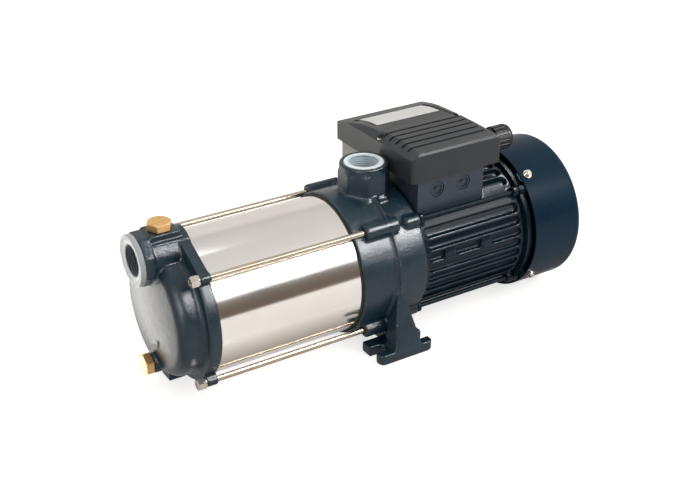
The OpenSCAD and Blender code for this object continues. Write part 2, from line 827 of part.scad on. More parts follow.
module terminal_lid() {
  x1 = lid_x + lid_len;
  rib_x0 = lid_x + 17;
  rib_x1 = x1 - 12;
  color(plastic) difference() {
    union() {
      intersection() {
        round_box(lid_x, -50, lid_z, lid_len, 145, 50, 4);
        translate([lid_x - 5, 0, 0]) rotate([90, 0, 90]) linear_extrude(height = lid_len + 10) lid_profile(0, 0);
        // slanted ends
        translate([0, 100, 0]) rotate([90, 0, 0]) linear_extrude(height = 160)
          polygon([[lid_x, lid_z - 1], [x1, lid_z - 1], [x1, lid_z + 24], [x1 - 7, lid_z + 33],
            [lid_x + 14, lid_z + 33], [lid_x, lid_z + 25]]);
      }
    }
    // hollow of the lid
    intersection() {
      round_box(lid_x + 2.5, -47.5, lid_z - 1, lid_len - 5, 140, 50, 2);
      translate([lid_x - 5, 0, 0]) rotate([90, 0, 90]) linear_extrude(height = lid_len + 10) lid_profile(4.6, 2);
      translate([0, 100, 0]) rotate([90, 0, 0]) linear_extrude(height = 160)
        polygon([[lid_x + 2, lid_z - 2], [x1 - 2, lid_z - 2], [x1 - 3, lid_z + 19], [x1 - 10, lid_z + 27],
          [lid_x + 17, lid_z + 27], [lid_x + 2.5, lid_z + 19]]);
    }
    // recess for the bare label plate
    translate([lid_x + 9, 0, 0]) rotate([90, 0, 90]) linear_extrude(height = lid_len - 18)
      polygon([[21, lid_z + 40], [21, lid_z + 30.3], [57, lid_z + 27.2], [76, lid_z + 23], [76, lid_z + 40]]);
    // valleys between the long ribs
    for (k = [0 : 4]) {
      y = 13 - k * 11;
      translate([0, y, 0]) rotate([90, 0, 0]) linear_extrude(height = 3)
        polygon([[lid_x + 6, lid_z + 40], [lid_x + 6, lid_z + 26], [lid_x + 15, lid_z + 29.4],
          [rib_x1, lid_z + 29.4], [rib_x1 + 5, lid_z + 33], [rib_x1 + 5, lid_z + 40]]);
    }
    // screw wells
    for (p = [[lid_x + 5, 15], [x1 - 8, 17]]) {
      translate([p[0], p[1], lid_z + 24]) cylinder(h = 20, r = 4);
      translate([p[0], p[1], lid_z + 10]) cylinder(h = 20, r = 2);
    }
    translate([x1 - 4, -20, lid_z + 12]) rotate([0, 90, 0]) cylinder(h = 8, r = 8.2);
  }
}

module terminal_lid_screws() {
  x1 = lid_x + lid_len;
  color(steel) for (p = [[lid_x + 5, 15], [x1 - 8, 17]]) {
    translate([p[0], p[1], lid_z + 8]) cylinder(h = 17, r = 2);
    translate([p[0], p[1], lid_z + 24]) difference() {
      cylinder(h = 2.4, r = 3.7);
      translate([0, 0, 2]) cube([5, 1, 2], center = true);
      translate([0, 0, 2]) cube([1, 5, 2], center = true);
    }
  }
}

module capacitor() {
  color([0.85, 0.85, 0.83]) union() {
    translate([lid_x + 12, 68.5, lid_z - 9]) rotate([0, 90, 0]) cylinder(h = 76, r = 19);
    translate([lid_x + 88, 68.5, lid_z - 9]) rotate([0, 90, 0]) cylinder(h = 3, r = 16);
    for (s = [-1, 1]) {
      translate([lid_x + 91, 68.5 + s * 6 - 3, lid_z - 9.4]) cube([6, 6, 0.8]);
    }
  }
}

module terminal_block() {
  color([0.75, 0.72, 0.62]) difference() {
    union() {
      translate([50, -20, lid_z - 4]) cube([48, 20, 13]);
      translate([40, -12, lid_z + 3]) cube([68, 4, 3]);
    }
    for (i = [0 : 3]) {
      translate([56 + i * 12, -14, lid_z + 5]) cylinder(h = 5, r = 2.2);
      translate([56 + i * 12, -5, lid_z + 5]) cylinder(h = 5, r = 2.2);
    }
  }
}

module gland_body() {
  x1 = lid_x + lid_len;
  color([0.07, 0.07, 0.08]) translate([x1, -20, lid_z + 12]) rotate([0, 90, 0]) difference() {
    union() {
      translate([0, 0, -8]) cylinder(h = 9, r = 8.2);
      cylinder(h = 9, r = 13.4, $fn = 6);
      translate([0, 0, 9]) cylinder(h = 14, r = 10);
    }
    translate([0, 0, -9]) cylinder(h = 27, r = 6);
    translate([0, 0, 13]) cylinder(h = 12, r = 7.8);
  }
}

module gland_seal() {
  x1 = lid_x + lid_len;
  color(rubber) translate([x1 + 13, -20, lid_z + 12]) rotate([0, 90, 0]) difference() {
    cylinder(h = 17, r = 7.8);
    translate([0, 0, -1]) cylinder(h = 19, r = 4.5);
  }
}

// Cap nut of the gland with grip ribs
module gland_nut() {
  x1 = lid_x + lid_len;
  color([0.07, 0.07, 0.08]) translate([x1 + 10, -20, lid_z + 12]) rotate([0, 90, 0]) difference() {
    union() {
      cylinder(h = 17, r = 13.4);
      translate([0, 0, 17]) cylinder(h = 3, r1 = 13.4, r2 = 12);
      translate([0, 0, 20]) cylinder(h = 2, r1 = 12, r2 = 9.4);
    }
    translate([0, 0, -1]) cylinder(h = 15, r = 10.05);
    translate([0, 0, 13]) cylinder(h = 12, r = 7.85);
    for (a = [0 : 20 : 340]) {
      rotate([0, 0, a]) translate([14, 0, -1]) cylinder(h = 16, r = 1.2, $fn = 24);
    }
  }
}

// A hexagon plug with a thread and a chamfered head, its washer's seat at z = 0, pointing up
module plug(af, tall) {
  difference() {
    union() {
      translate([0, 0, -9]) cylinder(h = 10.1, r = plug_r);
      translate([0, 0, -10]) cylinder(h = 1, r1 = plug_r - 1, r2 = plug_r);
      intersection() {
        translate([0, 0, 0.9]) cylinder(h = tall, r = af / sqrt(3), $fn = 6);
        translate([0, 0, 0.9]) cylinder(h = tall, r1 = af / 2 + tall * 1.2, r2 = af / 2 - 0.2);
      }
    }
    for (i = [0 : 4]) {
      translate([0, 0, -8.5 + i * 1.7]) difference() {
        cylinder(h = 0.7, r = plug_r + 1);
        translate([0, 0, -1]) cylinder(h = 3, r = plug_r - 0.5);
      }
    }
  }
}

module filler_plug() {
  color(brass) translate([x_port + 31, 0, axis_h + suction_rise + pad_top]) plug(21.5, 7);
}

module filler_washer() {
  color([0.55, 0.40, 0.25]) translate([x_port + 31, 0, axis_h + suction_rise + pad_top]) difference() {
    cylinder(h = 0.9, r = 10);
    translate([0, 0, -1]) cylinder(h = 3, r = plug_r);
  }
}

module drain_plug() {
  color(brass) translate([x_port + 11, 0, axis_h - 53]) rotate([0, -90, 0]) plug(20, 7.5);
}

module drain_washer() {
  color([0.55, 0.40, 0.25]) translate([x_port + 11, 0, axis_h - 53]) rotate([0, -90, 0]) difference() {
    cylinder(h = 0.9, r = 9.6);
    translate([0, 0, -1]) cylinder(h = 3, r = plug_r);
  }
}

suction_cover();
sleeve();
front_seal_ring();
rear_seal_ring();
tie_rods();
tie_rod_nuts();
tie_rod_washers();
bracket();
suction_ring();
discharge_ring();
diffuser_1();
diffuser_2();
diffuser_3();
diffuser_4();
seal_seat();
front_bearing_outer();
rear_bearing_outer();
motor_frame();
terminal_seat();
stator_core();
winding_ends();
end_shield();
motor_through_bolts();
fan_cover();
fan_cover_screws();
terminal_base();
terminal_lid();
terminal_lid_screws();
capacitor();
terminal_block();
gland_body();
gland_nut();
gland_seal();
blanking_plugs();
shaft();
impeller_1();
impeller_2();
impeller_3();
impeller_4();
stage_spacers();
impeller_nut();
seal_head();
rotor_core();
rotor_end_rings();
front_bearing_inner();
rear_bearing_inner();
fan();
fan_circlip();
slinger();
front_balls();
rear_balls();
filler_plug();
filler_washer();
drain_plug();
drain_washer();
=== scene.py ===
"""Dress of a horizontal multistage surface pump over its fixed CAD frame.

The shared frame is in metres: x = 0 at the discharge port, +X toward the fan, z = 0 under the
foot. Each sub-assembly of the pump is a class that holds its sizes and makes its own pieces, and
the finishes, lamps and cards are small records. Sizes in millimetres are named as such.
"""

import json
import logging
import math
from dataclasses import dataclass
from enum import Enum
from typing import Callable, Optional, Sequence

import bmesh
import bpy
import numpy as np
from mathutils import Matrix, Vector


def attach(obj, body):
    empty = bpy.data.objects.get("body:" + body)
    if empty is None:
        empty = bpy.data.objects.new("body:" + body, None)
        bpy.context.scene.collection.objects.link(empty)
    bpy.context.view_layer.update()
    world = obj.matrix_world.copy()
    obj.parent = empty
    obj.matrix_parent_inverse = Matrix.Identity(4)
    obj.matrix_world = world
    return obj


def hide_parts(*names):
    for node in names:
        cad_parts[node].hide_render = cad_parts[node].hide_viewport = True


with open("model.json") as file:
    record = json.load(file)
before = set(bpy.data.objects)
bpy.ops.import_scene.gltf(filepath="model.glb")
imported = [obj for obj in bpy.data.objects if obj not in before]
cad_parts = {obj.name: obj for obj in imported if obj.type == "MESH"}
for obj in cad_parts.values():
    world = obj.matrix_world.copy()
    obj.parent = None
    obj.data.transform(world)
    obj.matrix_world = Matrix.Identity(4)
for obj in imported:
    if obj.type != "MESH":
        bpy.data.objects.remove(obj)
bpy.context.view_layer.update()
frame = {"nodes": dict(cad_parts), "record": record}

logging.basicConfig(level=logging.INFO, format="%(message)s")
log = logging.getLogger("pump")

MM = 0.001
MERGE_NEW = 1e-7  # metres within which two points of a new mesh are one
MERGE_CAD = 1e-6  # the same for a CAD node's loose triangles
SHARP_DEG = 35.0  # an edge steeper than this stays crisp
BEVEL_DEG = 28.0  # an edge steeper than this gets a moulded round
# noise stays near its middle, so each range over it starts and ends well inside 0 and 1
TONE_RANGE = (0.32, 0.68)
GLOSS_RANGE = (0.3, 0.7)
# painted glints: the range, width and tone of pale specks that stand in for highlights on the
# enamel's grain
PAINTED_GLINT_RANGE = (0.60, 0.75)
PAINTED_GLINT_MM = 1.1
PAINTED_GLINT_TONE = "6f7c86"
LINE_STRETCH = 250.0  # a drawn line is this many times longer than it is wide
Array = np.ndarray
Colour = tuple[float, float, float, float]


class Body(Enum):
    """Body of the record that a new piece rides on: all of them belong to the still casing."""

    CASING = "casing"


class Way(Enum):
    """Main directions of the pump, each named by its axis of the shared frame."""

    ALONG_SHAFT = "X"
    ACROSS = "Y"
    UPRIGHT = "Z"


def srgb(code: str) -> Colour:
    """Turn a hex colour into linear light.

    Args:
        code: six hex digits, such as "1e2f3c".

    Returns:
        Linear red, green, blue and an alpha of 1.
    """
    parts = [int(code[i:i + 2], 16) / 255.0 for i in (0, 2, 4)]
    lin = [c / 12.92 if c <= 0.04045 else ((c + 0.055) / 1.055) ** 2.4 for c in parts]
    return (lin[0], lin[1], lin[2], 1.0)


def add(tree: bpy.types.NodeTree, kind: str, inputs: Optional[dict] = None,
        stops: Optional[Sequence[tuple[float, Colour]]] = None,
        **settings: object) -> bpy.types.Node:
    """Add one node with its settings, values and links.

    Args:
        tree: node tree of a material or the world.
        kind: Blender's name for the node type.
        inputs: socket name or number, with a value or the output socket that feeds it.
        stops: places and colours of a colour ramp.
        **settings: plain attributes of the node.

    Returns:
        The new node.
    """
    item = tree.nodes.new(kind)
    for name, value in settings.items():
        setattr(item, name, value)
    for key, value in (inputs or {}).items():
        socket = item.inputs[key]
        if isinstance(value, bpy.types.NodeSocket):
            tree.links.new(value, socket)
        else:
            socket.default_value = value
    if stops:
        ramp = item.color_ramp
        while len(ramp.elements) < len(stops):
            ramp.elements.new(0.5)
        for element, (place, colour) in zip(ramp.elements, stops):
            element.position = place
            element.color = colour
    return item


def grey(value: float) -> Colour:
    """A neutral colour for ramps that drive plain numbers."""
    return (value, value, value, 1.0)


def per_mm(size_mm: float) -> float:
    """Noise scale whose features are about this many millimetres wide."""
    return 1.0 / (size_mm * MM)


def empty_tree(owner: bpy.types.ID) -> bpy.types.NodeTree:
    """Give a material or world an empty node tree and return it."""
    owner.use_nodes = True
    owner.node_tree.nodes.clear()
    return owner.node_tree


def enter(name: str, data: bpy.types.ID) -> bpy.types.Object:
    """Make an object of a mesh, lamp or camera and put it into the scene."""
    obj = bpy.data.objects.new(name, data)
    bpy.context.scene.collection.objects.link(obj)
    return obj


@dataclass(frozen=True)
class Finish:
    """Base of every finish: a named Principled material with mottled colour, gloss and grain.

    The colour varies softly between two tones and the roughness between two values. The bump
    stacks the grains, each with its width and its height in millimetres, and then lines that run
    round lines_axis. A glint strength over 0 mixes pale painted glints into the colour: specks
    over a fine noise that stand in for highlights on the grain.
    """

    name: str
    tone: str
    tone_2: str
    mottle_mm: float
    rough: tuple[float, float]
    metallic: float = 0.0
    grains: tuple[tuple[float, float], ...] = ()
    lines_mm: float = 0.0
    lines_depth: float = 0.0
    lines_axis: Way = Way.ALONG_SHAFT
    painted_glint: float = 0.0
    specular: float = 0.5

    def build(self) -> bpy.types.Material:
        """Make the material on first use.

        Returns:
            The material, which every piece of this finish shares.
        """
        found = bpy.data.materials.get(self.name)
        if found:
            return found
        mat = bpy.data.materials.new(self.name)
        tree = empty_tree(mat)
        place = add(tree, "ShaderNodeTexCoord").outputs["Object"]
        mottle = add(tree, "ShaderNodeTexNoise",
                     {"Vector": place, "Scale": per_mm(self.mottle_mm), "Detail": 4.0,
                      "Roughness": 0.6}).outputs["Fac"]
        colour = add(tree, "ShaderNodeValToRGB", {"Fac": mottle},
                     stops=[(TONE_RANGE[0], srgb(self.tone)),
                            (TONE_RANGE[1], srgb(self.tone_2))]).outputs["Color"]
        gloss = add(tree, "ShaderNodeMapRange",
                    {"Value": mottle, "From Min": GLOSS_RANGE[0], "From Max": GLOSS_RANGE[1],
                     "To Min": self.rough[0], "To Max": self.rough[1]}).outputs["Result"]
        # painted highlight: pale glints mixed into the colour where the glint strength is over 0
        if self.painted_glint > 0.0:
            colour = self._painted_glints(tree, place, colour)
        shader = add(tree, "ShaderNodeBsdfPrincipled",
                     {"Base Color": colour, "Roughness": gloss, "Metallic": self.metallic,
                      "Specular IOR Level": self.specular})
        normal = self._relief(tree, place)
        if normal is not None:
            tree.links.new(normal, shader.inputs["Normal"])
        self._extra(tree, place, shader)
        add(tree, "ShaderNodeOutputMaterial", {"Surface": shader.outputs["BSDF"]})
        return mat

    def _painted_glints(self, tree: bpy.types.NodeTree, place: bpy.types.NodeSocket,
                colour: bpy.types.NodeSocket) -> bpy.types.NodeSocket:
        """Paint pale glints over a fine noise, as painted highlights on the grain.

        Args:
            tree: the material's nodes.
            place: object coordinates.
            colour: the mottled colour.

        Returns:
            The colour with its painted glints.
        """
        # painted highlight: a fine noise picks where the pale glint tone is mixed in
        glint_noise = add(tree, "ShaderNodeTexNoise",
                   {"Vector": place, "Scale": per_mm(PAINTED_GLINT_MM), "Detail": 2.0}).outputs["Fac"]
        glint_mask = add(tree, "ShaderNodeValToRGB", {"Fac": glint_noise},
                   stops=[(PAINTED_GLINT_RANGE[0], grey(0.0)),
                          (PAINTED_GLINT_RANGE[1], grey(self.painted_glint))]).outputs["Color"]
        return add(tree, "ShaderNodeMix", {"Factor": glint_mask, 6: colour, 7: srgb(PAINTED_GLINT_TONE)},
                   data_type="RGBA").outputs[2]

    def _relief(self, tree: bpy.types.NodeTree,
                place: bpy.types.NodeSocket) -> Optional[bpy.types.NodeSocket]:
        """Stack the grains and turning lines as bumps.

        Args:
            tree: the material's nodes.
            place: object coordinates.

        Returns:
            The last bump's normal, or None where the finish is dead smooth.
        """
        layers = []
        for size_mm, depth_mm in self.grains:
            grain = add(tree, "ShaderNodeTexNoise",
                        {"Vector": place, "Scale": per_mm(size_mm), "Detail": 3.0,
                         "Roughness": 0.55})
            layers.append((grain, depth_mm))
        if self.lines_mm > 0.0:
            # noise that is fine along lines_axis and stretched over the other two
            fine = per_mm(self.lines_mm)
            long = fine / LINE_STRETCH
            scale = {Way.ALONG_SHAFT: (fine, long, long), Way.ACROSS: (long, fine, long),
                     Way.UPRIGHT: (long, long, fine)}[self.lines_axis]
            drawn = add(tree, "ShaderNodeMapping", {"Vector": place, "Scale": scale})
            lines = add(tree, "ShaderNodeTexNoise",
                        {"Vector": drawn.outputs["Vector"], "Scale": 1.0, "Detail": 2.0})
            layers.append((lines, self.lines_depth))
        normal = None
        for noise, depth_mm in layers:
            feed = {"Height": noise.outputs["Fac"], "Distance": depth_mm * MM, "Strength": 1.0}
            if normal is not None:
                feed["Normal"] = normal
            normal = add(tree, "ShaderNodeBump", feed).outputs["Normal"]
        return normal

    def _extra(self, tree: bpy.types.NodeTree, place: bpy.types.NodeSocket,
               shader: bpy.types.Node) -> None:
        """A place for a finish to add what is its own."""


@dataclass(frozen=True)
class PortFinish(Finish):
    """Machined port: a pale chamfer ring, a greyer ring outside ring_mm and a thread darkened with
    painted shade.

    The tone follows the distance from the port's axis, in millimetres, where axis is the way that
    the port faces and centre holds the two other coordinates in metres.
    """

    axis: Way = Way.ALONG_SHAFT
    centre: tuple[float, float] = (0.0, 0.142)
    ring_mm: float = 20.3
    thread_mm: float = 16.6
    blur_mm: float = 0.3
    outer: str = "a9adb0"
    # painted shade: the threaded bore gets this darker tone, as shade inside the hole
    bore: str = "5f6d76"

    def _extra(self, tree: bpy.types.NodeTree, place: bpy.types.NodeSocket,
               shader: bpy.types.Node) -> None:
        """Mix the three tones by the distance from the axis.

        Args:
            tree: the material's nodes.
            place: object coordinates.
            shader: the shader whose colour is changed.
        """
        across = {Way.ALONG_SHAFT: ("Y", "Z"), Way.UPRIGHT: ("X", "Y")}[self.axis]
        split = add(tree, "ShaderNodeSeparateXYZ", {"Vector": place})
        squares = []
        for name, middle in zip(across, self.centre):
            step = add(tree, "ShaderNodeMath", {0: split.outputs[name], 1: middle},
                       operation="SUBTRACT").outputs[0]
            squares.append(add(tree, "ShaderNodeMath", {0: step, 1: step},
                               operation="MULTIPLY").outputs[0])
        total = add(tree, "ShaderNodeMath", {0: squares[0], 1: squares[1]}, operation="ADD")
        far = add(tree, "ShaderNodeMath", {0: total.outputs[0], 1: 0.5},
                  operation="POWER").outputs[0]
        rim = add(tree, "ShaderNodeMapRange",
                  {"Value": far, "From Min": (self.ring_mm - self.blur_mm) * MM,
                   "From Max": (self.ring_mm + self.blur_mm) * MM}).outputs["Result"]
        # painted shade: inside thread_mm the colour turns to the darker bore tone
        bore_shade_mask = add(tree, "ShaderNodeMapRange",
                   {"Value": far, "From Min": (self.thread_mm + self.blur_mm) * MM,
                    "From Max": (self.thread_mm - self.blur_mm) * MM}).outputs["Result"]
        base = shader.inputs["Base Color"].links[0].from_socket
        ring = add(tree, "ShaderNodeMix", {"Factor": rim, 6: base, 7: srgb(self.outer)},
                   data_type="RGBA").outputs[2]
        both = add(tree, "ShaderNodeMix", {"Factor": bore_shade_mask, 6: ring, 7: srgb(self.bore)},
                   data_type="RGBA").outputs[2]
        tree.links.new(both, shader.inputs["Base Color"])


# Sand-cast iron under thick gloss enamel: dark navy, and the grain breaks up its highlights; pale
# painted glints add sparkle on the grain
CAST_ENAMEL = Finish("cast iron, gloss navy enamel", "132936", "1a3341", 26.0, (0.18, 0.28),
                     grains=((1.3, 0.30), (0.75, 0.14), (11.0, 0.30)), painted_glint=0.07,
                     specular=0.42)
# Die-cast aluminium under thinner enamel: darker, smoother, soft sheen on the fins
MOTOR_ENAMEL = Finish("die-cast aluminium, navy enamel", "0a1b26", "0e2430", 18.0, (0.20, 0.28),
                      grains=((1.0, 0.03), (6.0, 0.10)), specular=0.22)
# Pressed sheet steel with smooth gloss enamel and faint orange peel
SHEET_ENAMEL = Finish("sheet steel, gloss navy enamel", "11283a", "142d3f", 40.0, (0.26, 0.32),
                      grains=((3.0, 0.010),), specular=0.10)
# Flat cast seat under the terminal box: the same navy enamel, dulled, and painted lighter and
# greyer as a painted sheen off its flat face
SEAT_SHEEN_ENAMEL = Finish("flat cast seat, navy enamel with painted sheen", "2c3844", "33404d", 25.0, (0.45, 0.55),
                     grains=((0.8, 0.02),))
# Rolled and polished stainless: near mirror, with lines round the tube drawn coarse enough to show
STAINLESS = Finish("polished stainless tube", "eeebe7", "e9e5e1", 60.0, (0.11, 0.15), 1.0,
                   lines_mm=0.5, lines_depth=0.0010)
# Bright zinc plate on turned steel: slightly warm, with a faint crystal grain
ZINC = Finish("zinc-plated steel", "dcd6cc", "c4bdb2", 3.0, (0.16, 0.26), 1.0,
              grains=((0.6, 0.008),))
# Drawn rod with yellowish zinc: warmer and a little duller than the turned parts
ROD = Finish("drawn rod, zinc-plated", "cfc3b2", "bcae9c", 9.0, (0.20, 0.28), 1.0)
# Turned suction port: pale satin metal, greyer outside, with painted shade darkening its thread
PORT_METAL = PortFinish("bare machined suction port", "dfe3e3", "d3d8d9", 6.0, (0.40, 0.52),
                        grains=((0.7, 0.02),))
# Turned discharge port, which looks up at the light: painted nearly white all over as a painted
# highlight, a lit copy of the suction port's metal, with painted shade in its thread
PORT_LIT_WHITE = PortFinish("bare machined discharge port, painted highlight", "edf5f8", "e2edf2", 6.0, (0.34, 0.45),
                        grains=((0.7, 0.01),), axis=Way.UPRIGHT, centre=(0.0, 0.0),
                        ring_mm=30.0, bore="cddbe1")
# Hexagon plugs pressed and turned from brass: warm and satin, with a faint pressed skin
BRASS = Finish("turned and pressed brass", "efc78c", "e0ae6c", 4.0, (0.34, 0.44), 1.0,
               grains=((0.5, 0.01), (3.0, 0.03)))
# Moulded ABS with a fine spark-eroded grain
CHARCOAL = Finish("moulded ABS, charcoal", "2a2e32", "303438", 30.0, (0.34, 0.42),
                  grains=((0.5, 0.012),), specular=0.36)
GREY_ABS = Finish("moulded ABS, light grey", "9d9b94", "a7a59e", 30.0, (0.45, 0.55),
                  grains=((0.45, 0.012),))
PLUG = Finish("blanking plug, dark ABS", "22303a", "293a46", 8.0, (0.35, 0.45),
              grains=((0.5, 0.012),))
# Moulded nylon and rubber: dull, with a grain that only softens their highlights
NYLON = Finish("black nylon", "111314", "181a1b", 10.0, (0.40, 0.50), grains=((0.5, 0.015),),
               specular=0.3)
RUBBER = Finish("olive-black rubber", "2a2a20", "35352a", 5.0, (0.6, 0.75),
                grains=((0.4, 0.02),))
# Brushed aluminium sheet, anodised and bare: satin, with lines along the box
LABEL = Finish("bare anodised label plate", "dcdcda", "d2d3d1", 9.0, (0.42, 0.50), 0.25,
               lines_mm=0.35, lines_depth=0.002, lines_axis=Way.ACROSS)
# Finishes of the inner pieces, which show once the casing is hidden
STAGE = Finish("pressed stainless stage", "b6b8b9", "a2a4a6", 8.0, (0.3, 0.4), 1.0,
               grains=((0.8, 0.01),))
BEARING = Finish("ground bearing steel", "c2c4c6", "b2b4b6", 6.0, (0.12, 0.2), 1.0,
                 grains=((0.4, 0.004),))
LAMINATION = Finish("stacked electrical steel", "6a6c6e", "595b5d", 5.0, (0.4, 0.5), 1.0,
                    lines_mm=0.6, lines_depth=0.03)
ALUMINIUM = Finish("cast aluminium", "c6c8ca", "b2b4b6", 6.0, (0.35, 0.45), 1.0,
                   grains=((0.9, 0.02),))
COPPER = Finish("varnished copper winding", "9a4f28", "7d3d1e", 2.0, (0.25, 0.35), 0.7,
                lines_mm=0.9, lines_depth=0.2)
CERAMIC = Finish("lapped ceramic", "e4dfd4", "ddd7cb", 6.0, (0.1, 0.15),
                 grains=((0.4, 0.004),))
CARBON = Finish("carbon and rubber seal head", "202020", "2b2b2b", 3.0, (0.4, 0.5),
                grains=((0.5, 0.01),))
CAN = Finish("white capacitor can", "dededa", "d2d2ce", 20.0, (0.25, 0.35),
             grains=((0.8, 0.008),))
BLOCK = Finish("cream terminal block", "cfc3a4", "c5b999", 10.0, (0.4, 0.5),
               grains=((0.5, 0.01),))
FIBRE = Finish("brown fibre washer", "8a6238", "74502c", 1.5, (0.6, 0.75),
               grains=((0.4, 0.03),))

DRESS: dict[str, Finish] = {
    "cast_iron_enamel": CAST_ENAMEL, "motor_enamel": MOTOR_ENAMEL,
    "sheet_enamel": SHEET_ENAMEL, "seat_enamel": SEAT_SHEEN_ENAMEL,
    "stainless_polished": STAINLESS, "zinc_steel": ZINC, "port_white_metal": PORT_METAL,
    "stage_steel": STAGE, "bearing_steel": BEARING, "lamination_steel": LAMINATION,
    "cast_aluminium": ALUMINIUM, "copper_wire": COPPER, "seal_rubber": RUBBER,
    "seal_ceramic": CERAMIC, "seal_carbon": CARBON, "charcoal_plastic": CHARCOAL,
    "grey_plastic": GREY_ABS, "capacitor_plastic": CAN, "block_plastic": BLOCK,
    "gland_plastic": NYLON, "plug_plastic": PLUG, "fan_plastic": NYLON,
    "plug_brass": BRASS, "fibre_washer": FIBRE,
}


def grid_faces(rows: int, cols: int, wrap: bool) -> Array:
    """Quads of a grid of points in row order.

    Args:
        rows: number of rows.
        cols: points in each row.
        wrap: join the last column to the first.

    Returns:
        An (n, 4) array of point numbers.
    """
    r, c = np.meshgrid(np.arange(rows - 1), np.arange(cols if wrap else cols - 1), indexing="ij")
    here, right = r * cols + c, r * cols + (c + 1) % cols
    return np.stack([here, right, right + cols, here + cols], -1).reshape(-1, 4)


def mesh_object(name: str, points: Array, faces: Array, finish: Finish, body: Body,
                sharp: float = SHARP_DEG) -> bpy.types.Object:
    """Put worked-out points into a mesh object that rides on a body.

    Args:
        name: piece name.
        points: (n, 3) points in metres.
        faces: (m, 4) quads.
        finish: its finish.
        body: the body that it rides on.
        sharp: edges steeper than this angle in degrees stay crisp.

    Returns:
        The new object.
    """
    mesh = bpy.data.meshes.new(name)
    mesh.from_pydata(points.tolist(), [], faces.tolist())
    mesh.validate()
    bm = bmesh.new()
    bm.from_mesh(mesh)
    bmesh.ops.remove_doubles(bm, verts=bm.verts, dist=MERGE_NEW)
    bmesh.ops.recalc_face_normals(bm, faces=bm.faces)
    bm.to_mesh(mesh)
    bm.free()
    mesh.shade_smooth()
    mesh.set_sharp_from_angle(angle=math.radians(sharp))
    obj = enter(name, mesh)
    mesh.materials.append(finish.build())
    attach(obj, body.value)
    log.info("piece %s: %d faces", name, len(mesh.polygons))
    return obj


def turned(profile: Array, centre: Sequence[float], way: Way, segments: int,
           radial: Optional[Callable[[Array, Array], Array]] = None) -> tuple[Array, Array]:
    """Carry a closed profile round an axis.

    Point (u, v) is centre + along(u) on the axis + radius(u) * (cos v, sin v) across it, and
    radial, where it is given, adds a height that depends on v and on the profile's place.

    Args:
        profile: (n, 2) closed loop of (radius, along) in metres.
        centre: where the axis passes.
        way: the axis.
        segments: steps round the axis.
        radial: function of (along, angle) that gives an extra radius.

    Returns:
        Points and quads, closed into a ring.
    """
    angle = np.linspace(0.0, 2.0 * math.pi, segments, endpoint=False)
    radius = profile[:, 0][:, None] + np.zeros_like(angle)[None, :]
    along = profile[:, 1][:, None] + np.zeros_like(angle)[None, :]
    if radial is not None:
        radius = radius + radial(along, angle[None, :] + np.zeros_like(along))
    a, b = radius * np.cos(angle), radius * np.sin(angle)
    if way is Way.ALONG_SHAFT:
        pts = np.stack([along + centre[0], a + centre[1], b + centre[2]], -1)
    else:
        pts = np.stack([a + centre[0], b + centre[1], along + centre[2]], -1)
    rows = len(profile)
    faces = grid_faces(rows, segments, True)
    seam = grid_faces(2, segments, True)
    seam = np.where(seam >= segments, seam - segments, seam + (rows - 1) * segments)
    return pts.reshape(-1, 3), np.concatenate([faces, seam])


def merged_copy(node: str, name: str, flat_deg: float = 0.0) -> bpy.types.Mesh:
    """Copy a CAD node's mesh with its loose triangles joined.

    Args:
        node: the CAD node.
        name: name of the copy.
        flat_deg: where over 0, triangles that lie within this angle become one face.

    Returns:
        The new mesh.
    """
    mesh = frame["nodes"][node].data.copy()
    mesh.name = name
    bm = bmesh.new()
    bm.from_mesh(mesh)
    bmesh.ops.remove_doubles(bm, verts=bm.verts, dist=MERGE_CAD)
    if flat_deg > 0.0:
        bmesh.ops.dissolve_limit(bm, angle_limit=math.radians(flat_deg), verts=bm.verts,
                                 edges=bm.edges)
    bm.to_mesh(mesh)
    bm.free()
    return mesh


def soft_copy(node: str, finish: Finish, body: Body, voxel_mm: float,
              rounds: int) -> bpy.types.Object:
    """Stand in for a cast node with the same solid whose edges are rounded as a mould does.

    The copy's loose triangles are merged, it is remade from cubes of voxel_mm and smoothed.

    Args:
        node: the CAD node.
        finish: its finish.
        body: the body that it rides on.
        voxel_mm: size of the cubes.
        rounds: smoothing passes, each about a third of a cube deep.

    Returns:
        The new object, which replaces the node.
    """
    obj = enter(node + "_cast", merged_copy(node, node + "_cast"))
    remesh = obj.modifiers.new("cast", "REMESH")
    remesh.mode = "VOXEL"
    remesh.voxel_size = voxel_mm * MM
    remesh.use_smooth_shade = True
    smooth = obj.modifiers.new("fettle", "SMOOTH")
    smooth.factor = 0.5
    smooth.iterations = rounds
    bpy.context.view_layer.update()
    solid = obj.evaluated_get(bpy.context.evaluated_depsgraph_get())
    baked = bpy.data.meshes.new_from_object(solid)
    obj.modifiers.clear()
    obj.data = baked
    baked.materials.clear()
    baked.materials.append(finish.build())
    baked.shade_smooth()
    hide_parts(node)
    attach(obj, body.value)
    log.info("piece %s: %d faces", obj.name, len(baked.polygons))
    return obj


def edge_copy(node: str, finish: Finish, body: Body,
              width_mm: float) -> bpy.types.Object:
    """Stand in for a node with the same solid whose edges carry a small round.

    The copy's loose triangles are merged, flat areas become single faces and a bevel rounds the
    edges.

    Args:
        node: the CAD node.
        finish: its finish.
        body: the body that it rides on.
        width_mm: width of the round.

    Returns:
        The new object, which replaces the node.
    """
    mesh = merged_copy(node, node + "_moulded", flat_deg=1.0)
    mesh.materials.clear()
    mesh.materials.append(finish.build())
    mesh.shade_smooth()
    mesh.set_sharp_from_angle(angle=math.radians(SHARP_DEG))
    obj = enter(node + "_moulded", mesh)
    bevel = obj.modifiers.new("edge", "BEVEL")
    bevel.width = width_mm * MM
    bevel.segments = 3
    bevel.limit_method = "ANGLE"
    bevel.angle_limit = math.radians(BEVEL_DEG)
    bevel.harden_normals = True
    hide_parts(node)
    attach(obj, body.value)
    log.info("piece %s: %d faces", obj.name, len(mesh.polygons))
    return obj


